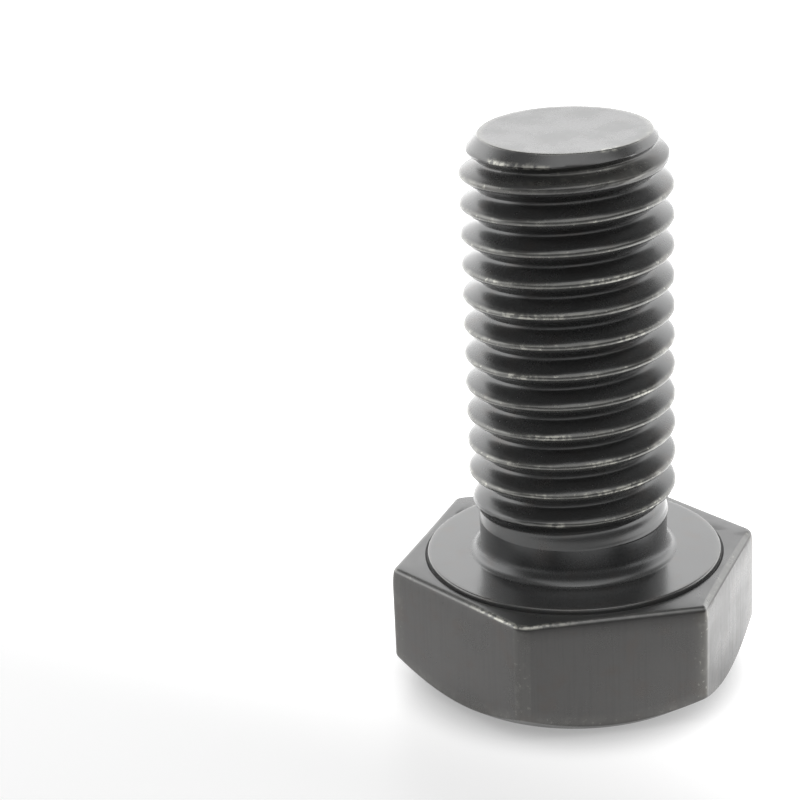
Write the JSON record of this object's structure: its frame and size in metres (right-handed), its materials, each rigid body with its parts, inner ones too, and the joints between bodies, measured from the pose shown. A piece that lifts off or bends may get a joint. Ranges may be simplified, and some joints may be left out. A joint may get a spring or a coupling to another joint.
{
  "type": "hex bolt",
  "caption": "Hexagon head bolt with a round washer face, a coarse right-hand thread up to the head and a chamfered flat tip; clamps parts together and is turned with a spanner.",
  "frame": {"origin": "centre of the head's outer face, the face the bolt stands on", "axes": "+Z along the bolt's axis, from the head to the tip; two corners of the hexagon point along +X and -X, two flats face +Y and -Y"},
  "size_m": [0.0214, 0.0186, 0.0325],
  "materials": {
    "head_steel": "black-oxide forged steel, satin, with faint warm mottling, fine vertical trimming lines on the flats and slightly worn edges",
    "seat_steel": "black-oxide steel, smooth and glossy from the die",
    "neck_steel": "black-oxide steel, smooth, semi-gloss",
    "thread_steel": "black-oxide rolled steel, semi-gloss flanks, crests worn lighter with small bright specks",
    "point_steel": "black-oxide steel, sheared end face, satin, rim slightly worn"
  },
  "bodies": {
    "root": {"hex_head": "head_steel", "washer_face": "seat_steel", "neck": "neck_steel", "threaded_shank": "thread_steel", "chamfered_point": "point_steel"}
  },
  "joints": []
}
